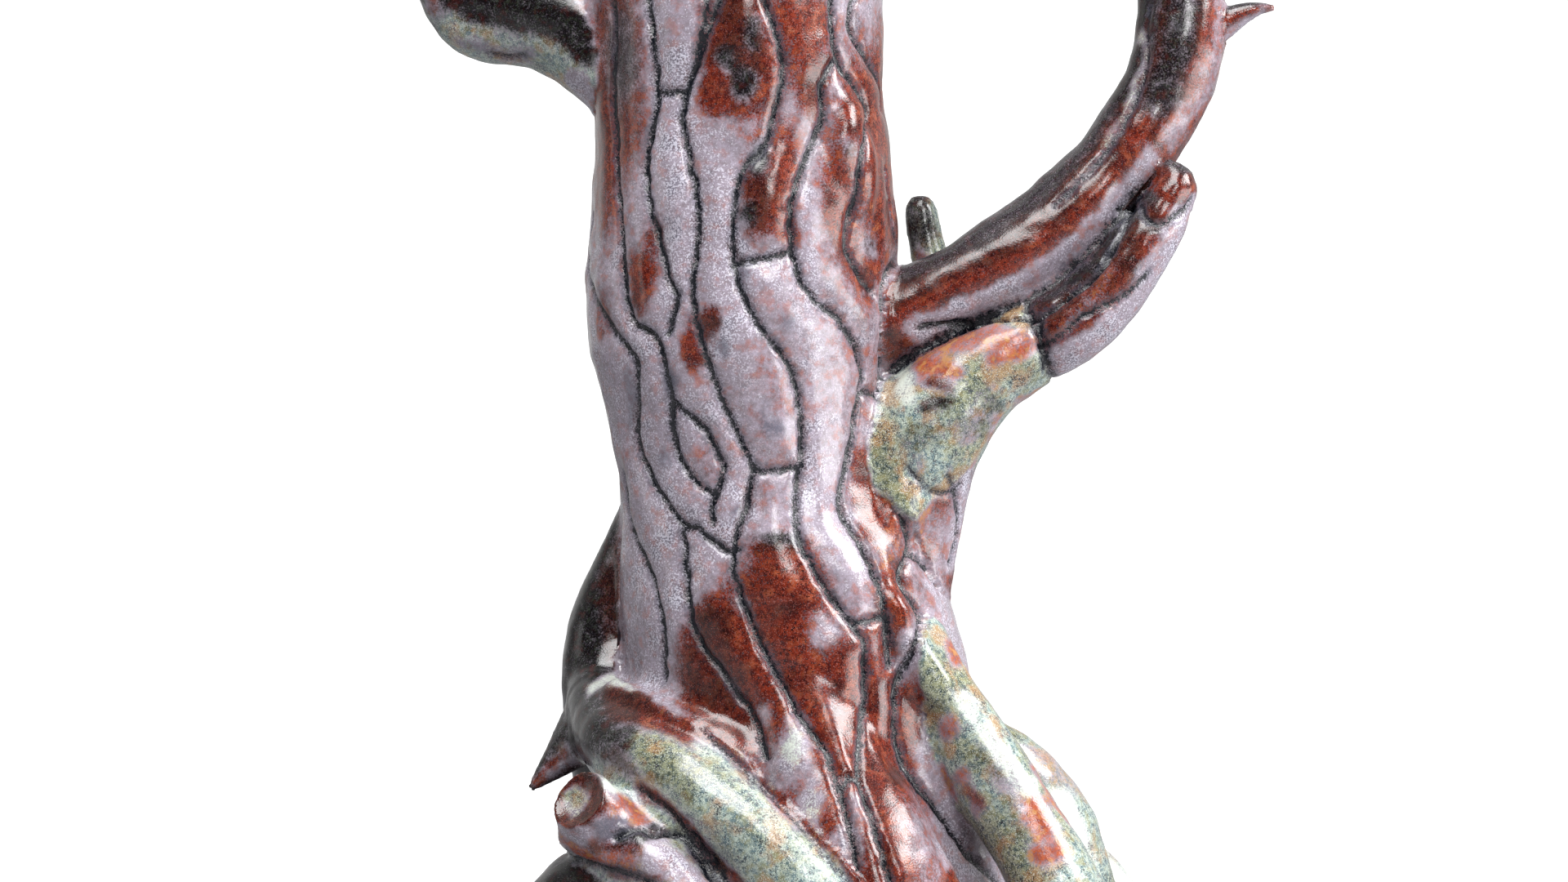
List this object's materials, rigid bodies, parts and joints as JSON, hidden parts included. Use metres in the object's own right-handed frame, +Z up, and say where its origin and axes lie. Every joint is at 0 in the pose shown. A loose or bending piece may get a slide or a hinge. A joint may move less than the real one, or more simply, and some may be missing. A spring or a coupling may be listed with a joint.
{
  "type": "clay tree sculpture",
  "caption": "Hand-built glazed clay tree of life: a hollow, bark-carved trunk on a round foot slab, with luted roots, curved limbs, a cut stub and pointed twigs.",
  "frame": {"origin": "middle of the foot slab's underside", "axes": "+Z up the trunk, +X to the right of someone facing the front, and the front of the tree faces -Y"},
  "size_m": [0.1836, 0.156, 0.3862],
  "materials": {
    "bark_glaze": "glossy copper-red glaze breaking to speckled lavender grey over carved bark lines",
    "rust_glaze": "glossy rust-red to maroon glaze with lavender grey streaks",
    "dark_glaze": "glossy near-black brown and green glaze",
    "celadon_glaze": "glossy mottled pale green glaze with rust-orange spots",
    "slab_glaze": "glossy dark brown glaze breaking to lavender grey, bare clay underneath"
  },
  "bodies": {
    "root": {"foot_slab": "slab_glaze", "trunk_shell": "bark_glaze", "root_left_rear": "dark_glaze", "root_front_left": "celadon_glaze", "root_thorn": "dark_glaze", "root_cut_stub": "celadon_glaze", "root_mound": "dark_glaze", "root_right": "celadon_glaze", "root_right_rear": "celadon_glaze", "root_far_right": "celadon_glaze", "root_front_toe": "rust_glaze", "root_left_toe": "dark_glaze", "root_back_left": "dark_glaze", "root_back": "rust_glaze", "root_back_right": "celadon_glaze", "limb_right_main": "rust_glaze", "limb_buttress": "bark_glaze", "limb_collar": "celadon_glaze", "limb_right_stub": "rust_glaze", "stub_bud": "rust_glaze", "twig_rear_stub": "dark_glaze", "twig_thorn": "rust_glaze", "twig_right_upper": "rust_glaze", "limb_left": "celadon_glaze", "twig_left_upper": "celadon_glaze", "limb_back": "rust_glaze", "twig_back": "celadon_glaze", "back_cut_stub": "celadon_glaze", "crown_left": "bark_glaze", "crown_left_branch": "dark_glaze", "crown_left_spray": "celadon_glaze", "crown_left_twig": "celadon_glaze", "crown_right": "bark_glaze", "crown_right_branch": "dark_glaze", "crown_right_spray": "celadon_glaze", "crown_right_twig": "celadon_glaze", "crown_rear": "rust_glaze", "crown_rear_branch": "dark_glaze", "crown_rear_twig": "celadon_glaze", "crown_front": "rust_glaze", "crown_front_twig": "celadon_glaze"}
  },
  "joints": []
}
